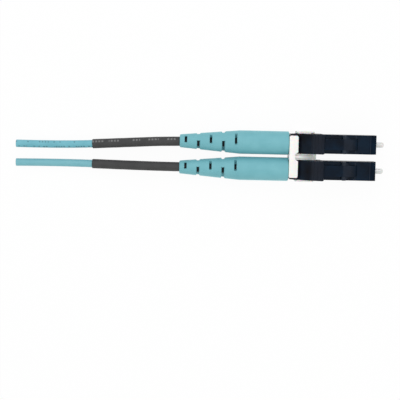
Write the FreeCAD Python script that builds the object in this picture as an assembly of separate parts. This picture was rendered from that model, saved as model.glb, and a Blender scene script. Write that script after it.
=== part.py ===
"""Duplex LC fibre connector: two simplex plugs side by side in a push-fit clip, each with its
bend-relief boot, shrink sleeve and 1.8 mm cable.

Each plug is drawn in its own frame, in millimetres: X runs along the ferrule, forwards, with
x = 0 on the front face of the housing, Y is across, Z is up on the latch side, and the ferrule's
axis is at y = z = 0. The plugs and the clip are then set over the table, which is z = 0, with
the origin below the middle of the object without its cables."""

import FreeCAD, Part
import math
import os

Vector = FreeCAD.Vector
ALONG, ACROSS, UP = Vector(1, 0, 0), Vector(0, 1, 0), Vector(0, 0, 1)

# ---- clearances -----------------------------------------------------------------------------
FIT = 0.03  # between pieces that are pushed or snapped together and stay so
RUN = 0.05  # around pieces that move

# ---- the interface: ferrule, plug width and pitch -------------------------------------------
PITCH = 6.25  # between the two ferrules
FERRULE_R = 0.6245
FERRULE_LEN = 6.5
FERRULE_OUT = 1.9  # ferrule tip ahead of the housing's front face
FERRULE_BEVEL_LEN = 0.3
FERRULE_BEVEL_DEPTH = 0.2
GRIP_TAPER = 0.02  # lost in radius over the stretch pressed in the flange
FUNNEL_LEN = 0.6  # entry of the fibre hole, at the ferrule's rear
FUNNEL_R = 0.35
GLASS_R = 0.0625
GLASS_GAP = 0.001
GLASS_TAIL = 0.25  # bare glass behind the ferrule

# ---- front housing --------------------------------------------------------------------------
HOUSING_W = 4.52
HOUSING_LEN = 12.9  # front face to the shoulder where the rear body begins
HOUSING_EDGE = 0.3
NOSE_LEN = 1.7  # slope on top of the nose
NOSE_DROP = 0.8
CHIN = 0.5  # bevel under the nose
NOSE_BORE_R = 1.25
SEAT_DEPTH = 2.45  # front face to the seat of the flange
CAVITY_R = 1.68
SPIGOT_WALL = 0.32
SPIGOT_LEN = 3.2
SPIGOT_EDGE = 0.45
BUMP_START = 1.0  # snap bump behind the shoulder
BUMP_LEN = 1.2
BUMP_H = 1.3
BUMP_OUT = 0.28

# ---- ferrule flange and spring --------------------------------------------------------------
FLANGE_FLATS = 2.8
FLANGE_LEN = 1.9
FLANGE_BEVEL = 0.25
STEM_R = 0.75
STEM_BORE_R = 0.48
STEM_LEN = 6.6
FLOAT = 0.9  # how far the ferrule can be pushed back
SPRING_R = 1.2
SPRING_WIRE_R = 0.2
SPRING_ROOM = 5.8  # flange to stop
SPRING_TURNS = 4.5
SPRING_SIDES = 6  # of the wire's section
GUIDE_R = 0.45
GUIDE_BORE_R = 0.33
GUIDE_LEN = 19.0
GUIDE_START = 0.35  # behind the ferrule

# ---- crimp body and sleeve ------------------------------------------------------------------
STOP_BORE_R = 0.85
COLLAR_LEN = 0.8
BARREL_R = 1.5
BARREL_OUT = 5.0  # barrel behind the rear body
GROOVES = 2  # round the barrel, for the yarn's grip
GROOVE_PITCH = 1.4
GROOVE_W = 0.7
GROOVE_DEPTH = 0.12
YARN_LAYER = 0.19  # yarn crimped on the barrel
CRIMP_WALL = 0.22
CRIMP_CONE = 0.75
CRIMP_TAIL = 3.0
CRIMP_TAIL_WALL = 0.34

# ---- rear body ------------------------------------------------------------------------------
REAR_WALL = 0.345
REAR_FLOOR = 0.23
REAR_LEN = 7.5
REAR_EDGE = 0.4
NECK_LEN = 1.85  # stretch under the clip's tongue
NECK_STEP = 0.325
NECK_TAPER = 0.12  # each side, over the neck
WINDOW_GAP = 0.1
BEAD_R = 0.14
BEAD_Z = 0.5

# ---- hinge grooves of latch arm and trigger -------------------------------------------------
SEAT_EASE = 2.0  # degrees beyond the arm's lowest position
SEAT_REACH = 3.0

# ---- latch arm (z measured from the housing's top) ------------------------------------------
LATCH_PIVOT = 4.9  # behind the front face
LATCH_SINK = 0.1
LATCH_W = 2.6
LATCH_T = 0.62
NECK_ANGLE = 45.0
NECK_RISE = 1.38
TAIL_ANGLE = 7.0
TAIL_RUN = 7.2
LUG_W = 4.4
LUG_START = 1.5  # behind the pivot
LUG_RAMP = 1.0
LUG_LEN = 1.9
LUG_LOW = 0.68
LUG_H = 0.95
LATCH_SWING = 7.2  # degrees, tail down

# ---- trigger --------------------------------------------------------------------------------
TRIGGER_PIVOT = 0.5  # ahead of the neck
TRIGGER_SINK = 0.2  # below the rear body's top
TRIGGER_T = 0.66
TRIGGER_ANGLE = 42.0
TRIGGER_SWING = 12.0  # degrees, tip down
PAD_ANGLE = 20.0
PAD_OVERHANG = 0.9  # past the end of the latch arm
TOUCH_GAP = 0.1
PAD_CORNER = 0.8
TRIGGER_INSET = 0.05  # each side, from the rear body's width
RIB_PITCH = 0.8
RIB_W = 0.4
RIB_H = 0.2

# ---- duplex clip ----------------------------------------------------------------------------
CLIP_FLOOR = 0.51
CLIP_WALL = 0.45
CLIP_WALL_START = 1.7  # behind the housing's shoulder
CLIP_WALL_LEN = 4.4
CLIP_WALL_H = 3.35
CLIP_EDGE = 0.4
WEB_AHEAD = 0.3  # web ahead of the outer walls
WEB_TOP = 2.2  # above the axis
WEB_GROOVE_W = 0.32
WEB_GROOVE_DEPTH = 0.45
WEB_NOSE = 0.95  # solid front end of the web
TONGUE_LEN = 2.08
TONGUE_T = 0.85
TONGUE_REACH = 1.86  # outwards from the plug's axis
TONGUE_WAIST = 1.4
WAIST_W = 2.1

# ---- boot -----------------------------------------------------------------------------------
BOOT_R = 2.8
BOOT_STRAIGHT = 11.65
BOOT_TAPER = 14.3
BOOT_TAIL_R = 1.57
BOOT_FRONT_EDGE = 0.15
BOOT_TAIL_EDGE = 0.25
BOOT_CABLE_GAP = 0.17
SLOTS = 5
SLOT_FIRST = 0.97  # behind the start of the taper
SLOT_PITCH = 2.97
SLOT_W = 0.6
SLOT_FLARE = 0.2  # at the mouths of the wide slots
SHORT_ARC = 60.0
SHORT_TURN = 19.0  # of the first pair, from the top towards +Y
WIDE_ARC = 124.0
WIDE_TURN = 125.0

# ---- cable and shrink sleeve ----------------------------------------------------------------
JACKET_R = 0.9
JACKET_WALL = 0.3
JACKET_START = 0.85  # behind the crimp barrel
YARN_IN_JACKET = 6.0
BUFFER_R = 0.3
BUFFER_GAP = 0.04
SHRINK_R = 1.13
SHRINK_OUT = 20.9  # behind the boot
SHRINK_GAP = 0.25  # to the crimp sleeve, inside the boot
# Centre lines over the table: in line with the plug through the crimp and the boot, then down
# on to the table. Chosen by hand.
ROUTES = {
    "a": [
        (-3.9, 3.125, 2.8),
        (-25.0, 3.125, 2.8),
        (-36.5, 2.43, 2.17),
        (-52.0, 1.50, 1.08),
        (-63.6, 1.60, 0.91),
    ],
    "b": [
        (-3.9, -3.125, 2.8),
        (-25.0, -3.125, 2.8),
        (-36.5, -3.02, 2.17),
        (-52.0, -2.72, 1.08),
        (-63.6, -2.92, 0.91),
    ],
}

# ---- stations along the plug, from front to back --------------------------------------------
TIP_X = FERRULE_OUT
FERRULE_REAR_X = TIP_X - FERRULE_LEN
SEAT_X = -SEAT_DEPTH
FLANGE_X = SEAT_X - RUN
FLANGE_REAR_X = FLANGE_X - FLANGE_LEN
STEM_REAR_X = FLANGE_REAR_X - STEM_LEN
STOP_X = FLANGE_REAR_X - SPRING_ROOM
GUIDE_X = FERRULE_REAR_X - GUIDE_START
BUFFER_X = FERRULE_REAR_X - FLOAT - GLASS_TAIL - 4 * RUN
SHOULDER_X = -HOUSING_LEN
SPIGOT_REAR_X = SHOULDER_X - SPIGOT_LEN
COLLAR_X = SPIGOT_REAR_X - FIT
COLLAR_REAR_X = COLLAR_X - COLLAR_LEN
REAR_X = SHOULDER_X - FIT
REAR_END_X = REAR_X - REAR_LEN
NECK_X = REAR_END_X + NECK_LEN
BARREL_END_X = REAR_END_X - BARREL_OUT
CLIP_WALL_X = SHOULDER_X - CLIP_WALL_START
TONGUE_X = NECK_X - FIT
CLIP_END_X = TONGUE_X - TONGUE_LEN
BOOT_X = CLIP_END_X - FIT
CRIMP_X = BOOT_X - RUN
TAPER_X = BOOT_X - BOOT_STRAIGHT
BOOT_END_X = TAPER_X - BOOT_TAPER

# ---- sections and heights shared by mating pieces -------------------------------------------
HOUSING_TOP = HOUSING_W / 2
SPIGOT_HALF = CAVITY_R + SPIGOT_WALL
POCKET_HALF = SPIGOT_HALF + FIT
REAR_HALF = POCKET_HALF + REAR_WALL
REAR_LOW = -(POCKET_HALF + REAR_FLOOR)
NECK_TOP = REAR_HALF - NECK_STEP
CLIP_LOW = REAR_LOW - FIT - CLIP_FLOOR
BOOT_BORE_R = SHRINK_R + BOOT_CABLE_GAP
STOP_R = CAVITY_R - FIT
COLLAR_R = SPIGOT_HALF
CRIMP_BORE_R = BARREL_R + YARN_LAYER + 2 * FIT
CRIMP_R = CRIMP_BORE_R + CRIMP_WALL
CRIMP_TAIL_BORE_R = JACKET_R + FIT
CRIMP_TAIL_R = CRIMP_TAIL_BORE_R + CRIMP_TAIL_WALL
CRIMP_CONE_X = BARREL_END_X - FIT - YARN_LAYER
CRIMP_TAIL_X = CRIMP_CONE_X - CRIMP_CONE
CRIMP_END_X = CRIMP_TAIL_X - CRIMP_TAIL
SHRINK_X = CRIMP_END_X - SHRINK_GAP
JACKET_BORE_R = JACKET_R - JACKET_WALL
YARN_R = JACKET_BORE_R - FIT
YARN_BORE_R = BUFFER_R + BUFFER_GAP
YARN_START_X = BARREL_END_X - JACKET_START
AXIS_Z = max(BOOT_R, -CLIP_LOW)  # the ferrules' height over the table
FRONT_X = -(TIP_X + BOOT_END_X) / 2  # the housings' front face, from the origin


# ---- drawing helpers ------------------------------------------------------------------------
def unit(vector):
    return vector * (1 / vector.Length)


def rounded_wire(corners, point):
    """Closed wire through the corners (u, v, radius), each rounded by its own radius."""
    places = [point(u, v) for u, v, _ in corners]
    edges, first, last = [], None, None
    for i, (_, _, radius) in enumerate(corners):
        here = places[i]
        back, on = unit(places[i - 1] - here), unit(places[(i + 1) % len(places)] - here)
        enter = leave = here
        if radius > 0:
            half = back.getAngle(on) / 2
            enter = here + back * (radius / math.tan(half))
            leave = here + on * (radius / math.tan(half))
            middle = here + unit(back + on) * (radius / math.sin(half) - radius)
        if last is None:
            first = enter
        elif (enter - last).Length > 1e-6:
            edges.append(Part.LineSegment(last, enter).toShape())
        if radius > 0:
            edges.append(Part.Arc(enter, middle, leave).toShape())
        last = leave
    if (first - last).Length > 1e-6:
        edges.append(Part.LineSegment(last, first).toShape())
    return Part.Wire(edges)


def rectangle(u0, u1, v0, v1, radius=0.0):
    return [(u0, v0, radius), (u1, v0, radius), (u1, v1, radius), (u0, v1, radius)]


def bar(x_rear, x_front, corners):
    """Prism along X whose section has the corners (y, z, radius)."""
    wire = rounded_wire(corners, lambda y, z: Vector(x_rear, y, z))
    return Part.Face(wire).extrude(ALONG * (x_front - x_rear))


def slab(width, corners):
    """Prism across Y, centred, whose side outline has the corners (x, z, radius)."""
    wire = rounded_wire(corners, lambda x, z: Vector(x, -width / 2, z))
    return Part.Face(wire).extrude(ACROSS * width)


def plate(z_low, z_high, corners):
    """Prism along Z whose plan has the corners (x, y, radius)."""
    wire = rounded_wire(corners, lambda x, y: Vector(x, y, z_low))
    return Part.Face(wire).extrude(UP * (z_high - z_low))


def block(x_rear, x_front, half_y, z_low, z_high):
    return plate(z_low, z_high, rectangle(x_rear, x_front, -half_y, half_y))


def rod(x_rear, x_front, radius):
    return Part.makeCylinder(radius, x_front - x_rear, Vector(x_rear, 0, 0), ALONG)


def cross_rod(x, z, radius, width):
    return Part.makeCylinder(radius, width, Vector(x, -width / 2, z), ACROSS)


def turned(profile):
    """Solid of revolution about the plug's axis from a closed profile (x, radius)."""
    points = [Vector(x, 0, radius) for x, radius in profile]
    return Part.Face(Part.makePolygon(points + points[:1])).revolve(Vector(), ALONG, 360)


def mirrored(shape):
    """The shape and its mirror image across the plug's own mid-plane."""
    return shape.fuse(shape.mirror(Vector(), ACROSS))


# ---- the mating end: ferrule, fibre, flange, spring -----------------------------------------
def ferrule():
    """Zirconia ferrule: bevelled tip, fibre hole with a rear funnel, tapered grip in the flange."""
    hole = GLASS_R + GLASS_GAP
    return turned(
        [
            (TIP_X, hole),
            (TIP_X, FERRULE_R - FERRULE_BEVEL_DEPTH),
            (TIP_X - FERRULE_BEVEL_LEN, FERRULE_R),
            (FLANGE_X, FERRULE_R),
            (FERRULE_REAR_X, FERRULE_R - GRIP_TAPER),
            (FERRULE_REAR_X, FUNNEL_R),
            (FERRULE_REAR_X + FUNNEL_LEN, hole),
        ]
    )


def glass_fibre():
    return rod(FERRULE_REAR_X - GLASS_TAIL, TIP_X, GLASS_R)


def hexagon(flats):
    reach = flats / 2 / math.cos(math.pi / 6)
    turns = [math.radians(60 * i) for i in range(6)]
    return [(reach * math.cos(t), reach * math.sin(t), 0.0) for t in turns]


def ferrule_flange():
    """Hexagonal metal flange with a bevelled front, and the stem that the spring sits round."""
    reach = FLANGE_FLATS / 2 / math.cos(math.pi / 6)
    bevel = turned(
        [
            (FLANGE_X, 0),
            (FLANGE_X, reach - FLANGE_BEVEL),
            (FLANGE_X - FLANGE_BEVEL, reach),
            (FLANGE_REAR_X, reach),
            (FLANGE_REAR_X, 0),
        ]
    )
    body = bar(FLANGE_REAR_X, FLANGE_X, hexagon(FLANGE_FLATS)).common(bevel)
    body = body.fuse(rod(STEM_REAR_X, FLANGE_REAR_X, STEM_R))
    front_r, rear_r = FERRULE_R + FIT / 2, FERRULE_R - GRIP_TAPER + FIT / 2
    grip = [(FLANGE_X, 0), (FLANGE_X, front_r), (FERRULE_REAR_X, rear_r)]
    body = body.cut(turned(grip + [(FERRULE_REAR_X - FIT, rear_r), (FERRULE_REAR_X - FIT, 0)]))
    return body.cut(rod(STEM_REAR_X, FLANGE_REAR_X, STEM_BORE_R))


def coil_spring():
    """Compression spring between the flange and the stop, drawn at rest, its wire many-sided."""
    length = SPRING_ROOM - 2 * (SPRING_WIRE_R + FIT)
    helix = Part.makeHelix(length / SPRING_TURNS, length, SPRING_R)
    turns = [2 * math.pi * i / SPRING_SIDES for i in range(SPRING_SIDES + 1)]
    wire = [Vector(SPRING_R + SPRING_WIRE_R * math.cos(t), 0, SPRING_WIRE_R * math.sin(t)) for t in turns]
    spring = Part.Wire(helix).makePipeShell([Part.makePolygon(wire)], True, True)
    spring.rotate(Vector(), ACROSS, 90)
    spring.translate(ALONG * (STOP_X + SPRING_WIRE_R + FIT))
    return spring


def guide_tube():
    """Thin tube from the stem through the crimp body, in which the buffered fibre slides."""
    tube = rod(GUIDE_X - GUIDE_LEN, GUIDE_X, GUIDE_R)
    return tube.cut(rod(GUIDE_X - GUIDE_LEN, GUIDE_X, GUIDE_BORE_R))


# ---- front housing and latch ----------------------------------------------------------------
def latch_pivot():
    return -LATCH_PIVOT, HOUSING_TOP - LATCH_SINK


def front_housing():
    """Square plug body with the sloped nose, the stepped cavity and the spigot for the rear body."""
    half = HOUSING_W / 2
    body = bar(SHOULDER_X, 0, rectangle(-half, half, -half, half, HOUSING_EDGE))
    nose = [(0, half - NOSE_DROP, 0), (1, half - NOSE_DROP, 0), (1, half + 1, 0), (-NOSE_LEN, half + 1, 0)]
    body = body.cut(slab(2 * HOUSING_W, nose + [(-NOSE_LEN, half, 0)]))
    chin = [(0, CHIN - half, 0), (1, CHIN - half, 0), (1, -half - 1, 0), (-CHIN, -half - 1, 0)]
    body = body.cut(slab(2 * HOUSING_W, chin + [(-CHIN, -half, 0)]))
    spigot = rectangle(-SPIGOT_HALF, SPIGOT_HALF, -SPIGOT_HALF, SPIGOT_HALF, SPIGOT_EDGE)
    body = body.fuse(bar(SPIGOT_REAR_X, SHOULDER_X, spigot)).fuse(mirrored(snap_bump()))
    body = body.cut(rod(SEAT_X, 0, NOSE_BORE_R))
    body = body.cut(bar(FLANGE_REAR_X, SEAT_X, hexagon(FLANGE_FLATS + 2 * RUN)))
    body = body.cut(rod(SPIGOT_REAR_X, FLANGE_REAR_X, CAVITY_R))
    return body.cut(latch_seat())


def snap_bump():
    """Wedge on the spigot's side that clicks into the rear body's window."""
    front, rear = SHOULDER_X - BUMP_START, SHOULDER_X - BUMP_START - BUMP_LEN
    root, out = SPIGOT_HALF - SPIGOT_WALL / 2, SPIGOT_HALF + BUMP_OUT
    wedge = [(front, root, 0), (front, out, 0), (front - BUMP_LEN / 3, out, 0)]
    wedge += [(rear, SPIGOT_HALF, 0), (rear, root, 0)]
    return plate(-BUMP_H / 2, BUMP_H / 2, wedge)


def latch_seat():
    """Groove for the latch arm's root, open behind for the neck as it bends down."""
    angle = 180 - NECK_ANGLE + LATCH_SWING
    return hinge_seat(latch_pivot(), angle, LATCH_T / 2 + RUN, LATCH_W + 2 * RUN)


def latch_bend():
    x, z = latch_pivot()
    return x - NECK_RISE / math.tan(math.radians(NECK_ANGLE)), z + NECK_RISE


def latch_end():
    """Middle of the arm's free end."""
    x, z = latch_bend()
    return x - TAIL_RUN, z + TAIL_RUN * math.tan(math.radians(TAIL_ANGLE))


def hinge_seat(pivot, angle, radius, width):
    """Round groove with one flank tangent to it, at that angle from +X: where the arm ends up."""
    x, z = pivot
    slope = math.radians(angle + math.copysign(SEAT_EASE, angle - 90))
    side = math.copysign(radius, math.cos(slope))
    foot = x + side * math.sin(slope), z - side * math.cos(slope)
    out = foot[0] + SEAT_REACH * math.cos(slope), foot[1] + SEAT_REACH * math.sin(slope)
    flank = [(x, z, 0), (*foot, 0), (*out, 0), (x, out[1], 0)]
    return cross_rod(x, z, radius, width).fuse(slab(width, flank))


def strip(start, bend, end, thickness, bend_radius):
    """Side outline of a bent strip of even thickness, from its middle line."""
    (x0, z0), (x1, z1), (x2, z2) = start, bend, end
    a0, a1 = math.atan2(z1 - z0, x1 - x0), math.atan2(z2 - z1, x2 - x1)
    half, mean = thickness / 2, (a0 + a1) / 2
    miter = half / math.cos((a1 - a0) / 2)
    inner, outer = max(bend_radius - half, 0.05), bend_radius + half
    if a1 > a0:
        inner, outer = outer, inner
    return [
        (x0 + half * math.sin(a0), z0 - half * math.cos(a0), 0.0),
        (x1 + miter * math.sin(mean), z1 - miter * math.cos(mean), outer),
        (x2 + half * math.sin(a1), z2 - half * math.cos(a1), half / 3),
        (x2 - half * math.sin(a1), z2 + half * math.cos(a1), half / 3),
        (x1 - miter * math.sin(mean), z1 + miter * math.cos(mean), inner),
        (x0 - half * math.sin(a0), z0 + half * math.cos(a0), 0.0),
    ]


def latch_arm():
    """Cantilever latch: round root, steep neck, long tail, and the two lugs on its sides."""
    x, z = latch_pivot()
    arm = slab(LATCH_W, strip((x, z), latch_bend(), latch_end(), LATCH_T, LATCH_T))
    arm = arm.fuse(cross_rod(x, z, LATCH_T / 2, LATCH_W))
    return arm.fuse(latch_lugs()).removeSplitter()


def latch_lugs():
    """Lugs whose square rear faces catch in the adapter, ramped in plan and in side view."""
    front, rear = -LATCH_PIVOT - LUG_START, -LATCH_PIVOT - LUG_START - LUG_LEN
    low, top = HOUSING_TOP + LUG_LOW, HOUSING_TOP + LUG_LOW + LUG_H
    ramp, half, root = front - LUG_RAMP, LUG_W / 2, LATCH_W / 2
    plan = [(front, -root, 0), (front, root, 0), (ramp, half, 0.1), (rear, half, 0.1)]
    plan += [(rear, -half, 0.1), (ramp, -half, 0.1)]
    side = [(rear, low, 0), (front, low, 0), (front, top - LUG_H / 2, 0), (ramp, top, 0.2), (rear, top, 0)]
    return plate(low, top, plan).common(slab(LUG_W + 1, side))


# ---- rear body and trigger ------------------------------------------------------------------
def trigger_pivot():
    return NECK_X + TRIGGER_PIVOT, REAR_HALF - TRIGGER_SINK


def rear_body():
    """Shell that snaps over the spigot and clamps the crimp body, with the neck for the clip."""
    half = REAR_HALF
    body = bar(REAR_END_X, REAR_X, rectangle(-half, half, REAR_LOW, half, REAR_EDGE))
    body = body.cut(block(REAR_END_X, NECK_X, 2 * half, NECK_TOP, half + 1))
    taper = [(NECK_X, half, 0), (NECK_X, half + 1, 0), (REAR_END_X, half + 1, 0)]
    taper += [(REAR_END_X, half - NECK_TAPER, 0)]
    body = body.cut(mirrored(plate(REAR_LOW - 1, half + 1, taper)))
    pocket = rectangle(-POCKET_HALF, POCKET_HALF, -POCKET_HALF, POCKET_HALF, SPIGOT_EDGE)
    body = body.cut(bar(COLLAR_REAR_X - FIT, REAR_X, pocket))
    body = body.cut(rod(REAR_END_X, COLLAR_REAR_X, BARREL_R + FIT))
    window_front = SHOULDER_X - BUMP_START + WINDOW_GAP
    window = block(
        window_front - BUMP_LEN - 2 * WINDOW_GAP,
        window_front,
        half + 1,
        -BUMP_H / 2 - WINDOW_GAP,
        BUMP_H / 2 + WINDOW_GAP,
    )
    body = body.cut(window)
    body = body.cut(mirrored(bead(half, BEAD_R + FIT, FIT)))
    angle = TRIGGER_ANGLE - TRIGGER_SWING
    return body.cut(hinge_seat(trigger_pivot(), angle, TRIGGER_T / 2 + RUN, 2 * half + 1))


def bead(y, radius, extra):
    """Half-round bead that keeps a plug in the clip, along the face at y."""
    front = SHOULDER_X - BUMP_START - BUMP_LEN - 4 * WINDOW_GAP + extra
    rear = CLIP_WALL_X - CLIP_WALL_LEN + CLIP_EDGE - extra
    rail = rod(rear, front, radius)
    rail.translate(Vector(0, y, BEAD_Z))
    return rail


def pad_line():
    """Bend and tip of the trigger's middle line: its pad passes just over the latch arm's end."""
    (x, z), (end_x, end_z) = trigger_pivot(), latch_end()
    tail, steep, flat = (math.radians(a) for a in (TAIL_ANGLE, TRIGGER_ANGLE, PAD_ANGLE))
    reach = LATCH_T / 2
    over = TOUCH_GAP + TRIGGER_T / 2
    touch_x = end_x + reach * math.sin(tail) - over * math.sin(flat)
    touch_z = end_z + reach * math.cos(tail) + over * math.cos(flat)
    back = (math.tan(steep) * (touch_x - x) - (touch_z - z)) / (math.tan(steep) - math.tan(flat))
    bend = touch_x - back, touch_z - back * math.tan(flat)
    tip = touch_x + PAD_OVERHANG, touch_z + PAD_OVERHANG * math.tan(flat)
    return bend, tip


def trigger():
    """Anti-snag trigger: round root, steep arm, ribbed thumb pad with a rounded front."""
    x, z = trigger_pivot()
    bend, tip = pad_line()
    half = REAR_HALF - TRIGGER_INSET
    body = slab(2 * half, strip((x, z), bend, tip, TRIGGER_T, 1.5 * TRIGGER_T))
    body = body.fuse(cross_rod(x, z, TRIGGER_T / 2, 2 * half))
    flat = math.dist(bend, tip) - TRIGGER_T
    for i in range(int(flat / RIB_PITCH) + 1):
        body = body.fuse(pad_rib(tip, i * RIB_PITCH, 2 * half))
    front = tip[0] + TRIGGER_T / 2
    plan = [(NECK_X - 1, -half, 0), (front, -half, PAD_CORNER), (front, half, PAD_CORNER)]
    plan += [(NECK_X - 1, half, 0)]
    return body.common(plate(0, tip[1] + 2, plan)).removeSplitter()


def pad_rib(tip, back, width):
    """Saw-tooth grip rib on the pad, that far back from its tip."""
    slope = math.radians(PAD_ANGLE)
    half, inset = TRIGGER_T / 2, TRIGGER_T / 4

    def on_pad(along, height):
        along -= back + 2 * half
        return (
            tip[0] + along * math.cos(slope) - height * math.sin(slope),
            tip[1] + along * math.sin(slope) + height * math.cos(slope),
            0.0,
        )

    outline = [on_pad(0, half - inset), on_pad(RIB_W, half - inset), on_pad(RIB_W, half)]
    return slab(width, outline + [on_pad(RIB_W / 3, half + RIB_H), on_pad(0, half)])


# ---- crimp body, crimp sleeve, boot ---------------------------------------------------------
def crimp_body():
    """Turned metal stop behind the spring, with its collar and grooved crimp barrel."""
    profile = [(BARREL_END_X, STOP_BORE_R), (STOP_X, STOP_BORE_R), (STOP_X, STOP_R)]
    profile += [(COLLAR_X, STOP_R), (COLLAR_X, COLLAR_R), (COLLAR_REAR_X, COLLAR_R)]
    profile += [(COLLAR_REAR_X, BARREL_R)]
    for i in range(GROOVES):
        x = BARREL_END_X + (GROOVES - i) * GROOVE_PITCH
        profile += [(x, BARREL_R), (x - GROOVE_W / 2, BARREL_R - GROOVE_DEPTH), (x - GROOVE_W, BARREL_R)]
    return turned(profile + [(BARREL_END_X, BARREL_R)])


def crimp_sleeve():
    """Stepped sleeve, crimped over the yarn on the barrel and over the cable's jacket."""
    return turned(
        [
            (CRIMP_X, CRIMP_BORE_R),
            (CRIMP_X, CRIMP_R),
            (CRIMP_CONE_X, CRIMP_R),
            (CRIMP_TAIL_X, CRIMP_TAIL_R),
            (CRIMP_END_X, CRIMP_TAIL_R),
            (CRIMP_END_X, CRIMP_TAIL_BORE_R),
            (CRIMP_TAIL_X + FIT, CRIMP_TAIL_BORE_R),
            (CRIMP_CONE_X + FIT, CRIMP_BORE_R),
        ]
    )


def boot():
    """Bend-relief boot: cylinder, long taper, stepped bore, and slot pairs turned by turns."""
    front_r, tail_r = CRIMP_R + FIT, CRIMP_TAIL_R + FIT
    body = turned(
        [
            (BOOT_END_X, BOOT_BORE_R),
            (CRIMP_END_X - tail_r, BOOT_BORE_R),
            (CRIMP_END_X - FIT, tail_r),
            (CRIMP_TAIL_X - FIT, tail_r),
            (CRIMP_CONE_X - FIT, front_r),
            (BOOT_X, front_r),
            (BOOT_X, BOOT_R - BOOT_FRONT_EDGE),
            (BOOT_X - BOOT_FRONT_EDGE, BOOT_R),
            (TAPER_X, BOOT_R),
            (BOOT_END_X + BOOT_TAIL_EDGE, BOOT_TAIL_R),
            (BOOT_END_X, BOOT_TAIL_R - BOOT_TAIL_EDGE / 2),
        ]
    )
    for i in range(SLOTS):
        x = TAPER_X - SLOT_FIRST - i * SLOT_PITCH
        for turn in (0, 180):
            if i % 2:
                body = body.cut(wide_slot(x, WIDE_TURN + turn))
            else:
                body = body.cut(sector(x, SLOT_W, SHORT_TURN + turn, SHORT_ARC))
    return body


def sector(x, width, turn, arc):
    """Slice of a circle across the plug, its middle that many degrees round from the top to +Y."""
    reach = 1.5 * BOOT_R
    sides = [math.radians(turn + a) for a in (-arc / 2, 0, arc / 2)]
    corners = [(0.0, 0.0, 0.0)]
    corners += [(reach * math.sin(t), reach * math.cos(t), 0.0) for t in sides]
    return bar(x - width / 2, x + width / 2, corners)


def wide_slot(x, turn):
    """Slot whose mouth is flared on the outside of the boot."""
    slope = (BOOT_R - BOOT_TAIL_R) / (TAPER_X - BOOT_END_X)
    surface = BOOT_TAIL_R + slope * (x - BOOT_END_X)
    half = SLOT_W / 2
    mouth = turned(
        [
            (x - half, surface - SLOT_FLARE),
            (x + half, surface - SLOT_FLARE),
            (x + half + 2 * SLOT_FLARE, surface + SLOT_FLARE),
            (x - half - 2 * SLOT_FLARE, surface + SLOT_FLARE),
        ]
    )
    flare = mouth.common(sector(x, SLOT_W + 4 * SLOT_FLARE, turn, WIDE_ARC))
    return sector(x, SLOT_W, turn, WIDE_ARC).fuse(flare)


# ---- duplex clip ----------------------------------------------------------------------------
def duplex_clip():
    """One moulding: floor, outer walls with beads, middle web, and the two tongues over the necks."""
    inner = PITCH / 2 + REAR_HALF + FIT
    outer = inner + CLIP_WALL
    wall_end = CLIP_WALL_X - CLIP_WALL_LEN
    web = PITCH / 2 - REAR_HALF - FIT
    tongue_low = NECK_TOP + FIT
    tongue_top = tongue_low + TONGUE_T
    narrow = inner - CLIP_WALL
    floor_plan = [
        (CLIP_END_X, -narrow, CLIP_EDGE),
        (wall_end, -narrow, CLIP_EDGE / 2),
        (wall_end, -outer, CLIP_EDGE / 2),
        (CLIP_WALL_X, -outer, CLIP_EDGE),
        (CLIP_WALL_X, outer, CLIP_EDGE),
        (wall_end, outer, CLIP_EDGE / 2),
        (wall_end, narrow, CLIP_EDGE / 2),
        (CLIP_END_X, narrow, CLIP_EDGE),
    ]
    clip = plate(CLIP_LOW, CLIP_LOW + CLIP_FLOOR, floor_plan)
    web_front = CLIP_WALL_X + WEB_AHEAD
    waist_x = CLIP_END_X + TONGUE_WAIST
    clip = clip.fuse(block(CLIP_END_X, web_front, web, CLIP_LOW, WEB_TOP))
    clip = clip.fuse(block(CLIP_END_X, waist_x, web, CLIP_LOW, tongue_top))
    clip = clip.fuse(mirrored(outer_wall(inner, outer)))
    clip = clip.fuse(tongues(tongue_low, tongue_top, waist_x))
    groove_y = web - WEB_GROOVE_W / 2 - CLIP_WALL / 4
    groove = plate(
        WEB_TOP - WEB_GROOVE_DEPTH,
        WEB_TOP + 1,
        rectangle(
            waist_x,
            web_front - WEB_NOSE,
            groove_y - WEB_GROOVE_W / 2,
            groove_y + WEB_GROOVE_W / 2,
        ),
    )
    return clip.cut(mirrored(groove)).removeSplitter()


def outer_wall(inner, outer):
    """Wall on the outside of one plug, rounded on top, with the bead on its inner face."""
    rear, top = CLIP_WALL_X - CLIP_WALL_LEN, CLIP_LOW + CLIP_WALL_H
    section = rectangle(inner, outer, CLIP_LOW, top)
    section[2:] = [(outer, top, CLIP_WALL / 3), (inner, top, CLIP_WALL / 3)]
    side = [
        (rear, CLIP_LOW, 0),
        (CLIP_WALL_X, CLIP_LOW, 0),
        (CLIP_WALL_X, top, CLIP_EDGE),
        (rear, top, CLIP_EDGE),
    ]
    wall = bar(rear, CLIP_WALL_X, section).common(slab(3 * outer, side))
    wall = wall.common(plate(CLIP_LOW, top, rectangle(rear, CLIP_WALL_X, -outer, outer)))
    return wall.fuse(bead(inner, BEAD_R, -FIT))


def tongues(low, top, waist_x):
    """Band over both necks: two round-ended tongues joined by a waist."""
    reach = PITCH / 2 + TONGUE_REACH
    half = WAIST_W / 2
    plan = [
        (CLIP_END_X, -reach, CLIP_EDGE),
        (TONGUE_X, -reach, CLIP_EDGE),
        (TONGUE_X, -half, CLIP_EDGE / 2),
        (waist_x, -half + CLIP_EDGE, CLIP_EDGE / 2),
        (waist_x, half - CLIP_EDGE, CLIP_EDGE / 2),
        (TONGUE_X, half, CLIP_EDGE / 2),
        (TONGUE_X, reach, CLIP_EDGE),
        (CLIP_END_X, reach, CLIP_EDGE),
    ]
    return plate(low, top, plan)


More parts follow.
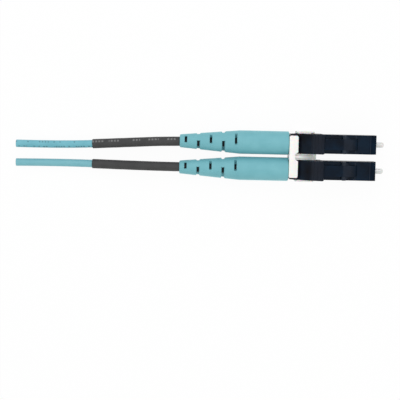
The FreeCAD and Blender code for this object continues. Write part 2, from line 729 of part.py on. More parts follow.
# ---- cables ---------------------------------------------------------------------------------
def route_wire(tag):
    """Straight runs joined by tangent arcs, each as large as its two runs allow."""
    points = [Vector(*p) for p in ROUTES[tag]]
    edges, last, radii = [], points[0], []
    for before, here, after in zip(points, points[1:], points[2:]):
        back, on = before - here, after - here
        cut = 0.45 * min(back.Length, on.Length)
        back, on = unit(back), unit(on)
        half = back.getAngle(on) / 2
        radius = cut * math.tan(half)
        enter, leave = here + back * cut, here + on * cut
        middle = here + unit(back + on) * (radius / math.sin(half) - radius)
        edges.append(Part.LineSegment(last, enter).toShape())
        edges.append(Part.Arc(enter, middle, leave).toShape())
        radii.append(round(radius, 1))
        last = leave
    edges.append(Part.LineSegment(last, points[-1]).toShape())
    print("route", tag, "arc radii", radii, "length", round(sum(e.Length for e in edges), 2))
    return Part.Wire(edges)


def pipe(wire, radius):
    """Plain round bar along the route, its volume compared with its section times its length."""
    start = wire.Edges[0].valueAt(wire.Edges[0].FirstParameter)
    heading = wire.Edges[0].tangentAt(wire.Edges[0].FirstParameter)
    section = Part.Face(Part.Wire(Part.makeCircle(radius, start, heading)))
    solid = wire.makePipe(section)
    expected = math.pi * radius * radius * wire.Length
    print("pipe radius", round(radius, 3), "volume over section times length", solid.Volume / expected)
    return solid


def cable_jacket(wire, side):
    """Cable as a plain bar, bored at its front end for the yarn and the buffered fibre."""
    front = YARN_START_X
    bore = on_table(rod(front - YARN_IN_JACKET, front + 1, JACKET_BORE_R), side)
    return pipe(wire, JACKET_R).cut(bore)


def fibre_buffer(side):
    """Buffered fibre, straight from the ferrule's stem into the cable."""
    return on_table(rod(YARN_START_X - YARN_IN_JACKET + FIT, BUFFER_X, BUFFER_R), side)


def aramid_yarn(side):
    """Yarn from the end of the cable, spread over the crimp barrel."""
    inner, outer = BARREL_R + FIT, BARREL_R + FIT + YARN_LAYER
    profile = [
        (CRIMP_X - FIT, inner),
        (CRIMP_X - FIT, outer),
        (BARREL_END_X - FIT, outer),
        (YARN_START_X, YARN_R),
        (YARN_START_X - YARN_IN_JACKET + FIT, YARN_R),
        (YARN_START_X - YARN_IN_JACKET + FIT, YARN_BORE_R),
        (YARN_START_X, YARN_BORE_R),
        (BARREL_END_X - FIT, inner),
    ]
    return on_table(turned(profile), side)


def shrink_sleeve(wire):
    """Shrink sleeve round the cable, from the crimp sleeve through the boot and on behind it."""
    length = SHRINK_X - BOOT_END_X + SHRINK_OUT
    rear = FRONT_X + SHRINK_X - length
    room = Part.makeBox(length, 4 * PITCH, 4 * PITCH, Vector(rear, -2 * PITCH, -PITCH))
    return pipe(wire, SHRINK_R).cut(pipe(wire, JACKET_R + FIT)).common(room)


# ---- assembly -------------------------------------------------------------------------------
def on_table(shape, side):
    """The shape moved from the plug's own frame to its place; side 0 is the clip's."""
    moved = shape.copy()
    moved.translate(Vector(FRONT_X, side * PITCH / 2, AXIS_Z))
    return moved


def plug(side):
    pieces = {
        "ferrule": ferrule(),
        "glass_fibre": glass_fibre(),
        "ferrule_flange": ferrule_flange(),
        "coil_spring": coil_spring(),
        "guide_tube": guide_tube(),
        "front_housing": front_housing(),
        "latch_arm": latch_arm(),
        "rear_body": rear_body(),
        "trigger": trigger(),
        "crimp_body": crimp_body(),
        "crimp_sleeve": crimp_sleeve(),
        "boot": boot(),
    }
    return {name: on_table(shape, side) for name, shape in pieces.items()}


def cable(tag, side):
    wire = route_wire(tag)
    return {
        "cable_jacket": cable_jacket(wire, side),
        "aramid_yarn": aramid_yarn(side),
        "fibre_buffer": fibre_buffer(side),
        "shrink_sleeve": shrink_sleeve(wire),
    }


def main():
    os.makedirs("parts", exist_ok=True)
    parts = {"duplex_clip": on_table(duplex_clip(), 0)}
    for tag, side in (("a", 1), ("b", -1)):
        for name, shape in {**plug(side), **cable(tag, side)}.items():
            parts[f"{name}_{tag}"] = shape
    for name, shape in parts.items():
        shape.exportStep(f"parts/{name}.step")
        solids, volume = len(shape.Solids), round(shape.Volume, 3)
        print(name, "solids", solids, "valid", shape.isValid(), "volume", volume)


main()
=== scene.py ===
# %% [markdown]
# # Duplex LC fibre connector
# Two simplex plugs sit side by side in an off-white clip, latch side up, each with its bend-relief
# boot, a shrink sleeve and a thin cable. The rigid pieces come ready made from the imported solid
# model, and this script adds what is soft or wound: cables, yarn, sleeves and springs. Everything
# is in metres: +X runs along the ferrules towards their tips, +Z is up on the latch side, and the
# table is z = 0. The frame is loaded first, so that each new piece is built where the solids are
# and nothing has to be fitted afterwards.

import math

import bpy
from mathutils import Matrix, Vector


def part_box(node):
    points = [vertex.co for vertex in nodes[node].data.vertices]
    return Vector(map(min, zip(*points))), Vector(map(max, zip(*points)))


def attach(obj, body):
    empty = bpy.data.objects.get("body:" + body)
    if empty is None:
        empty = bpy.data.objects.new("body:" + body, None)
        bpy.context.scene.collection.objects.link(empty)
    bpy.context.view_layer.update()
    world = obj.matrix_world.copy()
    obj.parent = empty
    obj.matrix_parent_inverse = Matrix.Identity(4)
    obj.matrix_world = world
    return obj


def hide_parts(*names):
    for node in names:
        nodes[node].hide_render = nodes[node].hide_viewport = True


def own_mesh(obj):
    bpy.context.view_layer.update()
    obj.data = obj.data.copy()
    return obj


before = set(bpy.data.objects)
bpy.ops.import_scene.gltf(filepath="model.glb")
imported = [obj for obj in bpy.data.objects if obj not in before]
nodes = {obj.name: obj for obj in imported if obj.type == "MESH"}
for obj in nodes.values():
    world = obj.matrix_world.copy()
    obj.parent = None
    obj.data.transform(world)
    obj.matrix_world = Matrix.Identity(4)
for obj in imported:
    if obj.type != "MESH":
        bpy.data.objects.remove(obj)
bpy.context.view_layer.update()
scene = bpy.context.scene
MM = 0.001
MM_PER_METRE = 1000.0
SIDES = {"a": 1, "b": -1}  # plug a stands on the +Y side


def linked(name, data):
    """New object that holds this data, linked into the scene."""
    made = bpy.data.objects.new(name, data)
    scene.collection.objects.link(made)
    return made


# %% [markdown]
# ## Places
# The plugs' height and spacing, the boots' tails and the springs' seats are needed again and again.
# They could be typed in, but then a change to the solids would leave the scene behind, so they are
# read from the boxes of the solids.

# %% Read the places
def centre(node):
    low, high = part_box(node)
    return (Vector(low) + Vector(high)) / 2


AXIS_Z = centre("ferrule_a").z
HALF_PITCH = centre("ferrule_a").y
BOOT_TAIL_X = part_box("boot_a")[0][0]
SPRING_REAR_X, SPRING_FRONT_X = (corner[0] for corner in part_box("coil_spring_a"))


def on_axis(x, side):
    """The place at this X on the axis of the plug on this side."""
    return (x, side * HALF_PITCH, AXIS_Z)


print("axis height", round(AXIS_Z, 5), "half pitch", round(HALF_PITCH, 5))
print("boot tail", round(BOOT_TAIL_X, 5))
print("spring from", round(SPRING_REAR_X, 5), "to", round(SPRING_FRONT_X, 5))

# %% [markdown]
# ## Camera
# The connector lies flat with its latches up, and is seen from above them. The camera could be
# placed by eye, but here it is worked out: it starts looking straight down, moves a few degrees
# towards the side of plug a and turns a little about the vertical. Then it backs away from its aim
# until the picture is as wide as wanted. A long lens keeps the two plugs nearly parallel.

# %% Camera above the latches
scene.view_settings.view_transform = "Standard"

VIEW_WIDTH = 95.9 * MM  # across the picture, at the plugs' height
LENS, SENSOR = 100.0, 36.0
VIEW_TURN = math.radians(1.25)
VIEW_TILT = math.radians(5.0)
NEAREST, FARTHEST = 0.01, 10.0
AIM = Vector((-19.18 * MM, -10.97 * MM, AXIS_Z))
camera_data = bpy.data.cameras.new("camera")
camera_data.lens, camera_data.sensor_width = LENS, SENSOR
camera_data.clip_start, camera_data.clip_end = NEAREST, FARTHEST
camera = linked("camera", camera_data)
camera.rotation_euler = (-VIEW_TILT, 0.0, VIEW_TURN)
back = camera.rotation_euler.to_matrix() @ Vector((0.0, 0.0, 1.0))
camera.location = AIM + back * (VIEW_WIDTH * LENS / SENSOR)
scene.camera = camera
print("camera at", tuple(round(v, 4) for v in camera.location))

# %% [markdown]
# ## Table
# The connector lies on a plain table. One large square face is enough, because only its soft shadow
# shows.

# %% Table
TABLE_HALF = 2.0
corner_signs = [(-1, -1), (1, -1), (1, 1), (-1, 1)]
table_corners = [(x * TABLE_HALF, y * TABLE_HALF, 0.0) for x, y in corner_signs]
table_mesh = bpy.data.meshes.new("table")
table_mesh.from_pydata(table_corners, [], [(0, 1, 2, 3)])
table = linked("table", table_mesh)
print("table", 2 * TABLE_HALF, "m square")

# %% [markdown]
# ## Cable routes
# A thin fibre cable is springy: it leaves the crimp straight, runs through the boot and only then
# sinks to the table in a long shallow curve. A chain of straight runs would look like bent wire, so
# each route is a NURBS curve, which treats these few points as hints and passes smoothly between
# them. Its order is set after the points are added, or it would stay at straight runs.

# %% Cable routes
ROUTES = {
    "a": [
        (-0.0039, 0.003125, 0.0028),
        (-0.0250, 0.003125, 0.0028),
        (-0.0365, 0.00243, 0.00217),
        (-0.0520, 0.00150, 0.00108),
        (-0.0636, 0.00160, 0.00091),
    ],
    "b": [
        (-0.0039, -0.003125, 0.0028),
        (-0.0250, -0.003125, 0.0028),
        (-0.0365, -0.00302, 0.00217),
        (-0.0520, -0.00272, 0.00108),
        (-0.0636, -0.00292, 0.00091),
    ],
}


def spline_route(tag):
    """The cable's line as a curve object, and the points that it passes through."""
    data = bpy.data.curves.new(f"route_{tag}", "CURVE")
    data.dimensions = "3D"
    data.resolution_u = 24
    spline = data.splines.new("NURBS")
    spline.points.add(len(ROUTES[tag]) - 1)
    for point, place in zip(spline.points, ROUTES[tag]):
        point.co = (*place, 1.0)
    spline.order_u = 3
    spline.use_endpoint_u = True
    route = linked(f"route_{tag}", data)
    line = bpy.data.meshes.new_from_object(route)
    points = [tuple(v.co) for v in line.vertices]
    bpy.data.meshes.remove(line)
    return route, points


def length_of(points):
    return sum((Vector(q) - Vector(p)).length for p, q in zip(points, points[1:]))


def length_at(path, x):
    """How far along the path it reaches this X."""
    done = 0.0
    for p, q in zip(path, path[1:]):
        step = (Vector(q) - Vector(p)).length
        if q[0] <= x:
            return done + step * (p[0] - x) / (p[0] - q[0])
        done += step
    return done


routes, paths = {}, {}
for tag in SIDES:
    routes[tag], paths[tag] = spline_route(tag)
    print("route", tag, round(length_of(paths[tag]), 5), "m long, of", len(paths[tag]), "points")

# %% [markdown]
# ## Helpers for node trees
# Shader and geometry trees can both be drawn by hand in Blender's editor, but built in code they
# can be read, repeated and changed in one place. Building one is always the same two steps: a node
# is added, and each of its inputs gets a plain value or a link from another node. These helpers do
# both, so that the trees further on read like short sums.

# %% Add and link nodes
def feed(tree, socket, value):
    """Links another node's output into this input, or sets the input to a plain value."""
    if isinstance(value, bpy.types.NodeSocket):
        tree.links.new(value, socket)
    else:
        socket.default_value = value


def add(tree, kind, inputs=(), **settings):
    """New node: its settings, then what each of its inputs is fed."""
    node = tree.nodes.new(kind)
    for key, value in settings.items():
        setattr(node, key, value)
    for socket, value in dict(inputs).items():
        feed(tree, node.inputs[socket], value)
    return node


def maths(tree, operation, *terms):
    """Math node on sockets or numbers; gives its output."""
    return add(tree, "ShaderNodeMath", dict(enumerate(terms)), operation=operation).outputs[0]


print("node helpers:", feed.__name__, add.__name__, maths.__name__)

# %% [markdown]
# ## From a geometry tree to a piece
# Geometry Nodes suit whatever follows a path or repeats. A tree has named inputs for its sizes and
# ends in real geometry with its material. The result is then taken off as a plain mesh, which rides
# like any other piece. Solidify gives a tube its wall and Bevel breaks its cut edges, because a
# real edge is never quite sharp.

# %% Open, close and use a geometry tree
SHARP_ANGLE = math.radians(35)  # a fold sharper than this stays an edge in the shading


def new_tree(name, inputs):
    """Geometry node group with a geometry output and these inputs: (name, type, default)."""
    tree = bpy.data.node_groups.new(name, "GeometryNodeTree")
    for label, kind, default in [*inputs, ("Material", "Material", None)]:
        socket = tree.interface.new_socket(label, in_out="INPUT", socket_type="NodeSocket" + kind)
        if default is not None:
            socket.default_value = default
    tree.interface.new_socket("Geometry", in_out="OUTPUT", socket_type="NodeSocketGeometry")
    return tree, tree.nodes.new("NodeGroupInput").outputs


def inputs_of(tree):
    return [item for item in tree.interface.items_tree if item.in_out == "INPUT"]


def close_tree(tree, given, geometry):
    """Ends a group: real geometry, its material, smooth shading, output."""
    real = add(tree, "GeometryNodeRealizeInstances", {"Geometry": geometry}).outputs["Geometry"]
    coat = {"Geometry": real, "Material": given["Material"]}
    coated = add(tree, "GeometryNodeSetMaterial", coat).outputs["Geometry"]
    smooth = add(tree, "GeometryNodeSetShadeSmooth", {"Geometry": coated}).outputs["Geometry"]
    add(tree, "NodeGroupOutput", {"Geometry": smooth})
    print("tree", tree.name, "with", [item.name for item in inputs_of(tree)])
    return tree


def build_with(tree, name, material, wall=0.0, edge=0.0, **values):
    """Plain mesh piece made by the group, thickened inwards and edged where asked."""
    host = linked(name + "_host", bpy.data.meshes.new(name + "_host"))
    modifier = host.modifiers.new("build", "NODES")
    modifier.node_group = tree
    sockets = {item.name: item.identifier for item in inputs_of(tree)}
    for label, value in {"Material": material, **values}.items():
        modifier[sockets[label]] = value
    if wall:
        thick = host.modifiers.new("wall", "SOLIDIFY")
        thick.thickness, thick.offset = wall, -1.0
    if edge:
        bevel = host.modifiers.new("edge", "BEVEL")
        bevel.width, bevel.segments, bevel.limit_method = edge, 2, "ANGLE"
    evaluated = host.evaluated_get(bpy.context.evaluated_depsgraph_get())
    mesh = bpy.data.meshes.new_from_object(evaluated)
    mesh.name = name
    mesh.set_sharp_from_angle(angle=SHARP_ANGLE)
    bpy.data.objects.remove(host)
    return linked(name, mesh)


def on_connector(piece, slot, *replaced):
    """Rides the piece on the main body and hides the solids it stands for. The slot is not used."""
    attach(piece, "connector")
    if replaced:
        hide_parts(*replaced)
    print("piece", piece.name, "with", len(piece.data.vertices), "vertices")
    return piece


print("piece helpers:", new_tree.__name__, build_with.__name__, on_connector.__name__)

# %% [markdown]
# ## Helpers for shader groups
# A shader group is a small tree with named inputs and outputs, which any material can place with
# its own values. The groups below all need a place on the piece in millimetres, noise over it, a
# normal that is rounded near edges, and a bump. The place comes from Object coordinates, because
# they stay with a piece when it moves.

# %% Shader group helpers
EDGE_SAMPLES = 6


def shader_group(name, inputs, outputs):
    """Shader node group with these inputs (name: default) and outputs (name: type)."""
    tree = bpy.data.node_groups.new(name, "ShaderNodeTree")
    for label, default in inputs.items():
        socket = tree.interface.new_socket(label, in_out="INPUT", socket_type="NodeSocketFloat")
        socket.default_value = default
    for label, kind in outputs.items():
        tree.interface.new_socket(label, in_out="OUTPUT", socket_type="NodeSocket" + kind)
    print("shader group", name, "with", list(inputs))
    given = tree.nodes.new("NodeGroupInput").outputs
    return tree, given, tree.nodes.new("NodeGroupOutput").inputs


def object_place(tree):
    """Object coordinates in millimetres, as a vector and as X, Y, Z."""
    spot = tree.nodes.new("ShaderNodeTexCoord").outputs["Object"]
    terms = {0: spot, 1: (MM_PER_METRE, MM_PER_METRE, MM_PER_METRE)}
    place = add(tree, "ShaderNodeVectorMath", terms, operation="MULTIPLY").outputs[0]
    return place, add(tree, "ShaderNodeSeparateXYZ", {0: place}).outputs


def noise(tree, place, scale, detail=2.0):
    """Noise over a place, finer as the scale goes up."""
    inputs = {"Vector": place, "Scale": scale, "Detail": detail}
    return add(tree, "ShaderNodeTexNoise", inputs).outputs[0]


def rounded(tree, reach):
    """The face's normal, rounded over within this reach of an edge."""
    return add(tree, "ShaderNodeBevel", {"Radius": reach}, samples=EDGE_SAMPLES).outputs[0]


def bumped(tree, **inputs):
    """The normal of a surface with this height on it."""
    return add(tree, "ShaderNodeBump", inputs).outputs[0]


print("shader helpers:", shader_group.__name__, noise.__name__, rounded.__name__, bumped.__name__)

# %% [markdown]
# ## Shader group: moulded surface
# A moulded plastic face has a fine grain from the mould, slow changes of tone and, at the height
# where the mould's halves met, a faint raised line. Painting that by hand would take a map for each
# piece, so noise on object coordinates makes it, at a scale in millimetres. Black plastic, clip,
# boot and cable all share the effect, which is why it is a group with inputs: each material places
# it with its own values. A Bevel node softens the edges' shading without adding faces.

# %% Moulded surface group
NO_PARTING = -10.0  # a height in mm that no piece reaches
PARTING_HALF_WIDTH = 0.035  # mm
PARTING_RISE = 1.5  # the line's height, where the grain's is 1
CLOUDS_PER_MM = 0.35


def moulding_group():
    tree, given, out = shader_group(
        "moulded_surface",
        {"Grain per mm": 8.0, "Grain depth": 0.1, "Edge mm": 0.05, "Parting height mm": NO_PARTING},
        {"Normal": "Vector", "Grain": "Float", "Clouds": "Float"},
    )
    place, xyz = object_place(tree)
    grain = noise(tree, place, given["Grain per mm"], 3.0)
    slow = {"Value": noise(tree, place, CLOUDS_PER_MM, 3.0), "From Min": 0.3, "From Max": 0.7}
    clouds = add(tree, "ShaderNodeMapRange", slow).outputs[0]
    off = maths(tree, "ABSOLUTE", maths(tree, "SUBTRACT", xyz[2], given["Parting height mm"]))
    near = {"Value": off, "From Max": PARTING_HALF_WIDTH, "To Min": 1.0, "To Max": 0.0}
    line = add(tree, "ShaderNodeMapRange", near).outputs[0]
    height = maths(tree, "ADD", grain, maths(tree, "MULTIPLY", line, PARTING_RISE))
    soft = rounded(tree, maths(tree, "MULTIPLY", given["Edge mm"], MM))
    strength = given["Grain depth"]
    bump = bumped(tree, Height=height, Normal=soft, Strength=strength, Distance=0.02 * MM)
    feed(tree, out["Normal"], bump)
    feed(tree, out["Grain"], grain)
    feed(tree, out["Clouds"], clouds)
    return tree


moulding = moulding_group()

# %% [markdown]
# ## Shader group: rubbed and highlit edges
# Edges are lightened a little, partly as the rubbing of fingers and adapters and partly as a
# painted highlight where an edge catches the light. The places could be painted, but the Bevel node
# already knows them: where its rounded normal leaves the face's own normal, there is an edge. Noise
# breaks the mask up, because wear is never even.

# %% Rubbed and highlit edges group
FLAT_MATCH, EDGE_MATCH = 0.995, 0.9  # how far the two normals agree on a face and at an edge


def edge_wear_and_highlight_group():
    tree, given, out = shader_group("worn_and_highlit_edges", {"Reach mm": 0.06}, {"Mask": "Float"})
    place, _ = object_place(tree)
    soft = rounded(tree, maths(tree, "MULTIPLY", given["Reach mm"], MM))
    face = tree.nodes.new("ShaderNodeNewGeometry").outputs["Normal"]
    normals = {0: soft, 1: face}
    match = add(tree, "ShaderNodeVectorMath", normals, operation="DOT_PRODUCT").outputs["Value"]
    bend = {"Value": match, "From Min": FLAT_MATCH, "From Max": EDGE_MATCH}
    edge = add(tree, "ShaderNodeMapRange", bend).outputs[0]
    # The mask lightens edges: partly wear, partly a painted highlight.
    feed(tree, out["Mask"], maths(tree, "MULTIPLY", edge, noise(tree, place, 2.2, 4.0)))
    return tree


edge_wear_and_highlight = edge_wear_and_highlight_group()

# %% [markdown]
# ## Shader group: a stretch along the piece
# Some marks sit at a known place along a plug: the press pad, lighter as thumb wear and as a
# painted reflection, the lugs, lighter as adapter wear and as a painted highlight, and two thin
# painted highlights across the housing. One mask between two places along X serves them all, with
# soft ends and a patchy middle.

# %% Stretch group
def stretch_group():
    tree, given, out = shader_group(
        "stretch_along_x",
        {"From mm": 0.0, "To mm": 1.0, "Soft mm": 0.2, "Patchiness": 0.5},
        {"Mask": "Float"},
    )
    place, xyz = object_place(tree)
    soft = given["Soft mm"]
    rise = maths(tree, "DIVIDE", maths(tree, "SUBTRACT", xyz[0], given["From mm"]), soft)
    fall = maths(tree, "DIVIDE", maths(tree, "SUBTRACT", given["To mm"], xyz[0]), soft)
    lower = maths(tree, "MINIMUM", rise, fall)
    inside = maths(tree, "MINIMUM", maths(tree, "MAXIMUM", lower, 0.0), 1.0)
    loss = maths(tree, "MULTIPLY", noise(tree, place, 1.5, 3.0), given["Patchiness"])
    feed(tree, out["Mask"], maths(tree, "MULTIPLY", inside, maths(tree, "SUBTRACT", 1.0, loss)))
    return tree


stretch = stretch_group()

# %% [markdown]
# ## Shader group: printed ticks
# A cable is ink-jet marked along its length as it is drawn. Here the marks are plain short bars in
# groups, some left out where the ink has worn. They follow the tube, so they can't use object
# coordinates: the tube stores how far along and how far round each point is, and the group reads
# those two attributes.

# %% Printed ticks group
PRINTED_SHARE = 0.72  # of each group's length; the rest is the gap to the next group


def ticks_group():
    tree, given, out = shader_group(
        "printed_ticks",
        {
            "Pitch mm": 1.0, "Bar mm": 0.3, "Group mm": 4.4,
            "Side": 0.25, "Width": 0.1, "Skip": 0.3,
        },
        {"Mask": "Float"},
    )
    along = add(tree, "ShaderNodeAttribute", attribute_name="along").outputs["Fac"]
    around = add(tree, "ShaderNodeAttribute", attribute_name="around").outputs["Fac"]
    reach = maths(tree, "MULTIPLY", along, MM_PER_METRE)
    steps = maths(tree, "DIVIDE", reach, given["Pitch mm"])
    tick = {"W": maths(tree, "FLOOR", steps)}
    chance = add(tree, "ShaderNodeTexWhiteNoise", tick, noise_dimensions="1D").outputs["Value"]
    keep = maths(tree, "GREATER_THAN", chance, given["Skip"])
    bar_share = maths(tree, "DIVIDE", given["Bar mm"], given["Pitch mm"])
    bar = maths(tree, "LESS_THAN", maths(tree, "FRACT", steps), bar_share)
    group_place = maths(tree, "FRACT", maths(tree, "DIVIDE", reach, given["Group mm"]))
    group = maths(tree, "LESS_THAN", group_place, PRINTED_SHARE)
    off_side = maths(tree, "ABSOLUTE", maths(tree, "SUBTRACT", around, given["Side"]))
    band = maths(tree, "LESS_THAN", off_side, given["Width"])
    marked = maths(tree, "MULTIPLY", bar, band)
    feed(tree, out["Mask"], maths(tree, "MULTIPLY", marked, maths(tree, "MULTIPLY", keep, group)))
    return tree


ticks = ticks_group()

# %% [markdown]
# ## Shader group: turned metal
# Flange, crimp body and crimp sleeve are turned or drawn, which leaves fine rings round their axis.
# Noise in one dimension, along X, changes from ring to ring and not round the piece, so it gives
# both the streaks and a normal that catches the light in lines.

# %% Turned metal group
def turned_group():
    tree, given, out = shader_group(
        "turned_metal",
        {"Rings per mm": 30.0, "Depth": 0.15},
        {"Normal": "Vector", "Streaks": "Float"},
    )
    _, xyz = object_place(tree)
    along = {"W": xyz[0], "Scale": given["Rings per mm"], "Detail": 3.0}
    rings = add(tree, "ShaderNodeTexNoise", along, noise_dimensions="1D").outputs[0]
    soft = rounded(tree, 0.03 * MM)
    bump = bumped(tree, Height=rings, Normal=soft, Strength=given["Depth"], Distance=0.01 * MM)
    feed(tree, out["Normal"], bump)
    feed(tree, out["Streaks"], rings)
    return tree


turned = turned_group()

# %% [markdown]
# ## Helpers for materials
# Each material starts from the same few moves: a Principled shader whose uniform values are set
# straight on its sockets, a group placed with its own values, and a colour or a roughness that lies
# between two. The shader itself stays in the material, and the groups feed only colour, roughness
# and normal, the three things that vary over the surface.

# %% Material helpers
def new_material(name, **uniform):
    material = bpy.data.materials.new(name)
    material.use_nodes = True
    tree = material.node_tree
    shader = tree.nodes["Principled BSDF"]
    for label, value in uniform.items():
        shader.inputs[label.replace("_", " ")].default_value = value
    print("material", name)
    return material, tree, shader.inputs


def use(tree, group, **values):
    """A shader group placed in a material with its own values; gives its outputs."""
    inputs = {label.replace("_", " "): value for label, value in values.items()}
    return add(tree, "ShaderNodeGroup", inputs, node_tree=group).outputs


def blend(tree, factor, first, second):
    """Colour between two, each a colour or a socket. A Mix node takes its colours at 6 and 7."""
    ends = [c if isinstance(c, bpy.types.NodeSocket) else (*c, 1.0) for c in (first, second)]
    inputs = {0: factor, 6: ends[0], 7: ends[1]}
    return add(tree, "ShaderNodeMix", inputs, data_type="RGBA").outputs[2]


def span(tree, value, low, high):
    """A 0 to 1 value mapped to a range."""
    inputs = {"Value": value, "To Min": low, "To Max": high}
    return add(tree, "ShaderNodeMapRange", inputs).outputs[0]


def varied(tree, shader, colour, rough, normal):
    """Feeds the shader what varies over the surface."""
    feed(tree, shader["Base Color"], colour)
    feed(tree, shader["Roughness"], rough)
    feed(tree, shader["Normal"], normal)


print("material helpers:", use.__name__, blend.__name__, span.__name__, varied.__name__)

# %% [markdown]
# ## Recipes for plastic and metal
# Most finishes here differ only in colours and depth, so each kind gets one recipe in place of a
# material built from scratch every time. Plastic takes the moulded surface and the edges lightened
# as wear and as a painted highlight, metal the turned rings.

# %% Plastic and metal recipes
EDGE_LIGHTEN_REACH = 1.4  # how far the lightened edge goes in, where its rounding goes 1


def plastic(
    name, dark, light, worn, rough, grain, edge,
    parting=NO_PARTING, wear=0.5, lightened_stretches=(), **uniform,
):
    """Moulded plastic in two close colours; edges and given stretches go to a third, as wear and
    painted highlight.
    """
    material, tree, shader = new_material(name, **uniform)
    skin = use(
        tree, moulding,
        Grain_per_mm=grain[0], Grain_depth=grain[1], Edge_mm=edge, Parting_height_mm=parting,
    )
    lightening = maths(tree, "MULTIPLY", use(tree, edge_wear_and_highlight, Reach_mm=EDGE_LIGHTEN_REACH * edge)["Mask"], wear)
    for start, end, soft, share in lightened_stretches:
        mark = use(tree, stretch, From_mm=start, To_mm=end, Soft_mm=soft)["Mask"]
        lightening = maths(tree, "MAXIMUM", lightening, maths(tree, "MULTIPLY", mark, share))
    # Edges and listed stretches are lightened towards a third colour: wear and painted highlight
    # together.
    colour = blend(tree, lightening, blend(tree, skin["Clouds"], dark, light), worn)
    varied(tree, shader, colour, span(tree, skin["Grain"], *rough), skin["Normal"])
    return material


def metal(name, dark, light, rough, rings, depth):
    """Turned or drawn metal: rings in two close colours, in its gloss and in its normal."""
    material, tree, shader = new_material(name, Metallic=1.0)
    skin = use(tree, turned, Rings_per_mm=rings, Depth=depth)
    colour = blend(tree, skin["Streaks"], dark, light)
    varied(tree, shader, colour, span(tree, skin["Streaks"], *rough), skin["Normal"])
    return material


print("recipes:", plastic.__name__, metal.__name__)

# %% [markdown]
# ## Black plug plastic
# Housings, latches, rear bodies and triggers are moulded in a hard, glossy near-black with a touch
# of navy. Plain black would look like a hole in the picture, so the colour keeps its blue and
# drifts slowly. The specular level is low, because a black surface shows mostly what it mirrors,
# and here that is a white surround. The housing carries two thin lines painted lighter across its
# top, painted highlights where its edges catch the light. The lugs and the press pad are painted
# lighter too, as wear and as a painted highlight on the lugs and a painted reflection on the pad.
# Each of these is a stretch: start, end and soft end in mm, and how much of the lightened colour
# it takes.

# %% Black plug plastic
PARTING = AXIS_Z / MM
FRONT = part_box("front_housing_a")[1][0] / MM
LATCH_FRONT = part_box("latch_arm_a")[1][0] / MM
PAD_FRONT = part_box("trigger_a")[1][0] / MM
LINE_HALF = 0.08
# Two thin painted highlights across the housing's top.
EDGE_HIGHLIGHT_LINES = [
    (FRONT - behind - LINE_HALF, FRONT - behind + LINE_HALF, 0.03, 1.0) for behind in (1.44, 4.94)
]
# Lugs painted lighter, as wear and as a painted highlight.
LUG_WEAR_AND_HIGHLIGHT = [(LATCH_FRONT - 3.6, LATCH_FRONT - 1.3, 0.3, 0.45)]
# Press pad painted lighter, as thumb wear and as a painted reflection.
PAD_WEAR_AND_REFLECTION = [(PAD_FRONT - 3.4, PAD_FRONT, 0.8, 0.5)]
# The third colour below is what edges and stretches go to: wear and painted highlight together.
BLACK = dict(
    worn=(0.03, 0.036, 0.05), rough=(0.22, 0.34), grain=(9.0, 0.12), edge=0.05,
    parting=PARTING, wear=0.6,
)
NAVY = dict(dark=(0.002, 0.005, 0.011), light=(0.003, 0.0125, 0.028), **BLACK)
GREY = dict(dark=(0.002, 0.002, 0.004), light=(0.004, 0.010, 0.020), **BLACK)
housing_black = plastic("housing_black", **NAVY, lightened_stretches=EDGE_HIGHLIGHT_LINES, Specular_IOR_Level=0.04)
latch_black = plastic("latch_black", **NAVY, lightened_stretches=LUG_WEAR_AND_HIGHLIGHT, Specular_IOR_Level=0.08)
rear_black = plastic("rear_body_black", **GREY, Specular_IOR_Level=0.08)
trigger_black = plastic("trigger_black", **GREY, lightened_stretches=PAD_WEAR_AND_REFLECTION, Specular_IOR_Level=0.08)

# %% [markdown]
# ## Clip and boots
# The clip is a stiff off-white plastic, thin enough at its web and tongues for light to soak in, so
# it gets a little subsurface scattering in place of a brighter white. The boots are a soft rubbery
# aqua: rougher, with a deeper grain and a sheen that lifts the colour where the surface turns away.

# %% Clip and boot materials
# The third colour of each material below, which its edges take, is wear and painted highlight
# together.
white = plastic(
    "clip_moulding",
    dark=(0.83, 0.815, 0.785), light=(0.88, 0.865, 0.84), worn=(0.91, 0.90, 0.88),
    rough=(0.30, 0.42), grain=(6.0, 0.10), edge=0.06, parting=PARTING,
    Subsurface_Weight=0.35, Subsurface_Scale=0.8 * MM,
)
boot_skin = plastic(
    "boot_elastomer",
    dark=(0.147, 0.41, 0.465), light=(0.172, 0.446, 0.502), worn=(0.21, 0.49, 0.545),
    rough=(0.42, 0.56), grain=(7.0, 0.22), edge=0.08, parting=PARTING, wear=0.35,
    Specular_IOR_Level=0.35,
    Sheen_Weight=0.6, Sheen_Roughness=0.35, Sheen_Tint=(0.55, 0.95, 0.95, 1.0),
)

# %% [markdown]
# ## Ferrule, guide tube and buffered fibre
# The ferrule is ground and polished zirconia: dense, bright and slightly creamy, with a high index
# of refraction that makes its gloss sharp. Its colour stays well below white, or it would burn out
# against the table. The guide tube and the fibre's buffer are dull extruded plastics.

# %% Ferrule, guide tube and buffer materials
# The third colour of each material below, which its edges take, is wear and painted highlight
# together.
ceramic = plastic(
    "zirconia",
    dark=(0.60, 0.60, 0.59), light=(0.68, 0.68, 0.67), worn=(0.75, 0.75, 0.74),
    rough=(0.10, 0.18), grain=(20.0, 0.03), edge=0.02, wear=0.2,
    Subsurface_Weight=0.1, Subsurface_Scale=0.3 * MM, IOR=2.1,
)
DULL = dict(rough=(0.4, 0.5), grain=(12.0, 0.08), edge=0.02)
ptfe = plastic(
    "guide_tube_ptfe", **DULL,
    dark=(0.78, 0.79, 0.78), light=(0.84, 0.85, 0.84), worn=(0.88, 0.88, 0.87),
)
buffer_skin = plastic(
    "buffer_white", **DULL,
    dark=(0.72, 0.76, 0.74), light=(0.80, 0.83, 0.80), worn=(0.85, 0.86, 0.84),
)
